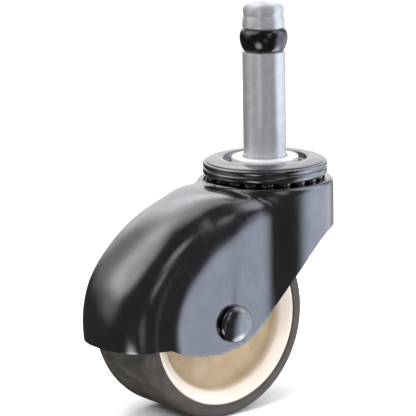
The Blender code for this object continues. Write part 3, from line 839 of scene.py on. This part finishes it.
def soften_edges(obj):
    """Rounds the cut edges, and marks how near each point is to one, for the plate's wear."""
    mesh = obj.data
    mesh.shade_smooth()
    sharp_from = math.radians(EDGE_ANGLE)
    mesh.set_sharp_from_angle(angle=sharp_from)
    shape = bmesh.new()
    shape.from_mesh(mesh)
    sharp = [e for e in shape.edges if len(e.link_faces) == 2 and e.calc_face_angle(0) > sharp_from]
    corners = np.array([v.co[:] for e in sharp for v in e.verts])
    shape.free()
    places = np.array([v.co[:] for v in mesh.vertices])
    nearest = np.full(len(places), 1.0)
    for start in range(0, len(corners), WEAR_GROUP):
        group = corners[start:start + WEAR_GROUP]
        gaps = np.linalg.norm(places[:, None, :] - group[None], axis=2).min(axis=1)
        nearest = np.minimum(nearest, gaps)
    edge = mesh.attributes.new("edge", "FLOAT", "POINT")
    edge.data.foreach_set("value", np.exp(-nearest / (WEAR_REACH * MM)).astype(np.float32))
    bevel = obj.modifiers.new("round_edges", "BEVEL")
    bevel.width = EDGE_ROUND * MM
    bevel.segments = 3
    bevel.limit_method = "ANGLE"
    bevel.angle_limit = sharp_from
    obj.modifiers.new("even_shading", "WEIGHTED_NORMAL").keep_sharp = False


# ---------------------------------------------------------------- studio

def toward(azimuth, elevation):
    """Unit vector at an azimuth round from the camera's side, and an elevation, in degrees."""
    turn = math.radians(azimuth + CAMERA_AZIMUTH - 90)
    rise = math.radians(elevation)
    return Vector((math.cos(turn) * math.cos(rise), math.sin(turn) * math.cos(rise), math.sin(rise)))


# Soft boxes that the plated metal reflects: azimuth from the camera, elevation, the half angles at
# which each is full and gone, its strength and its tint.
SOFT_BOXES = (
    ("left_box", -84, 46, 12, 36, 0.66, (1.0, 0.99, 0.97)),
    ("left_back", -132, 40, 12, 42, 0.30, (1.0, 0.99, 0.97)),
    ("left_low", -88, 18, 8, 28, 0.24, (1.0, 1.0, 1.0)),
    ("right_wall", 103, -14, 16, 50, 0.90, (0.88, 0.94, 1.10)),
    ("right_upper", 98, 40, 12, 34, 0.65, (0.95, 0.98, 1.05)),
    ("valley_low", 28, 16, 3, 12, 0.30, (0.98, 1.0, 1.04)),
    ("valley_strip", 32, 38, 3, 14, 0.45, (0.98, 1.0, 1.04)),
    ("under_left", -30, -36, 4, 18, 1.3, (1.0, 1.0, 1.03)),
    ("under_right", 98, -50, 7, 24, 1.5, (0.97, 0.99, 1.05)),
    ("back_wall", 178, 24, 16, 40, 1.0, (1.0, 1.0, 1.0)),
    ("back_high", -172, 62, 10, 34, 0.50, (1.0, 0.99, 0.97)),
    ("back_low", 148, -12, 8, 26, 0.34, (0.97, 0.98, 1.03)),
    ("near_strip", 8, -12, 3, 14, 0.14, (1.0, 1.0, 1.0)),
)
STUDIO_DARK = 0.045
BACKDROP = 0.97
# Soft panels that light the matt pieces: azimuth from the camera, elevation, distance and size in
# metres, and power in watts
LIGHTS = (
    ("key_left", -32, 46, 0.9, 0.6, 7.0),
    ("fill_camera", 16, 20, 1.0, 0.8, 3.6),
    ("right_soft", 100, 30, 0.9, 0.7, 4.5),
    ("top_soft", 0, 88, 2.0, 2.6, 46.0),
)
FLOOR_RADIUS = 4.0


def make_world():
    """Soft boxes in a dark studio for the pieces to reflect. The camera itself sees a pale backdrop."""
    world = bpy.data.worlds.new("studio")
    bpy.context.scene.world = world
    world.use_nodes = True
    tree = world.node_tree
    direction = add(tree, "TexCoord").outputs["Generated"]
    total = None
    for _, azimuth, elevation, full, gone, strength, tint in SOFT_BOXES:
        facing = add(tree, "VectorMath", {"operation": "DOT_PRODUCT"})
        feed(tree, facing.inputs[0], direction)
        facing.inputs[1].default_value = toward(azimuth, elevation)
        dark_at, full_at = math.cos(math.radians(gone)), math.cos(math.radians(full))
        glow = span(tree, facing.outputs["Value"], dark_at, full_at, 0.0, 1.0)
        colour = blend(tree, glow, (0, 0, 0), tuple(strength * channel for channel in tint))
        if total is not None:
            join = add(tree, "VectorMath", {"operation": "ADD"})
            feed(tree, join.inputs[0], total)
            feed(tree, join.inputs[1], colour)
            colour = join.outputs["Vector"]
        total = colour
    base = add(tree, "VectorMath", {"operation": "ADD"})
    feed(tree, base.inputs[0], total)
    base.inputs[1].default_value = (STUDIO_DARK,) * 3
    seen = add(tree, "LightPath").outputs["Is Camera Ray"]
    colour = blend(tree, seen, base.outputs["Vector"], (BACKDROP,) * 3)
    tree.links.new(colour, tree.nodes["Background"].inputs["Color"])


def add_light(name, azimuth, elevation, distance, size, power):
    """A soft panel that glossy rays don't see, so the plated pieces reflect only the studio's boxes."""
    data = bpy.data.lights.new(name, "AREA")
    data.shape = "DISK"
    data.size = size
    data.energy = power
    light = bpy.data.objects.new(name, data)
    middle = (CAD_BOX[0] + CAD_BOX[1]) / 2
    light.location = middle + toward(azimuth, elevation) * distance
    light.rotation_euler = (middle - light.location).to_track_quat("-Z", "Y").to_euler()
    light.visible_glossy = False
    light.visible_camera = False
    bpy.context.scene.collection.objects.link(light)


def make_floor():
    """A pale floor under the wheel, wide enough to fill the view."""
    mesh = bpy.data.meshes.new("studio_floor")
    shape = bmesh.new()
    bmesh.ops.create_circle(shape, cap_ends=True, segments=96, radius=FLOOR_RADIUS)
    shape.to_mesh(mesh)
    shape.free()
    floor = bpy.data.objects.new("studio_floor", mesh)
    floor.location.z = CAD_BOX[0].z
    bpy.context.scene.collection.objects.link(floor)
    material, tree, shader = finish("floor_pale", FLOOR_TONES[0], 0.9, 0.0)
    tree.links.new(
        blend(tree, span(tree, noise(tree, 3.0), 0.3, 0.7, 0.0, 1.0), *FLOOR_TONES),
        shader.inputs["Base Color"],
    )
    mesh.materials.append(material)
    floor.visible_glossy = False


def make_camera():
    """The photo's viewpoint, aimed at a point to the left of the collar and below it."""
    turn, rise, roll = (math.radians(a) for a in (CAMERA_AZIMUTH, CAMERA_ELEVATION, CAMERA_ROLL))
    back = Vector((math.sin(turn) * math.cos(rise), -math.cos(turn) * math.cos(rise), math.sin(rise)))
    right = Vector((math.cos(turn), math.sin(turn), 0.0))
    up = back.cross(right)
    aim = right * AIM_RIGHT + up * AIM_UP
    across = right * math.cos(roll) + up * math.sin(roll)
    upward = up * math.cos(roll) - right * math.sin(roll)
    data = bpy.data.cameras.new("photo_view")
    data.lens = CAMERA_LENS
    data.clip_start, data.clip_end = 0.05, 20.0
    camera = bpy.data.objects.new("photo_view", data)
    camera.matrix_world = Matrix.Translation((aim + back * CAMERA_DISTANCE) * MM) @ Matrix(
        (across, upward, back)
    ).transposed().to_4x4()
    bpy.context.scene.collection.objects.link(camera)
    bpy.context.scene.camera = camera


make_stem()
make_grip_ring()
make_flange_washer()
make_collar()
make_balls("upper_ball", UPPER_BALLS, UPPER_BALL_R)
make_hood()
make_race()
make_balls("lower_ball", LOWER_BALLS, LOWER_BALL_R)
make_cup()
make_axle()
make_washers()
make_bush()
make_wheel()
make_tyre()

make_world()
make_floor()
make_camera()
for light in LIGHTS:
    add_light(*light)
bpy.context.scene.view_settings.view_transform = "Standard"
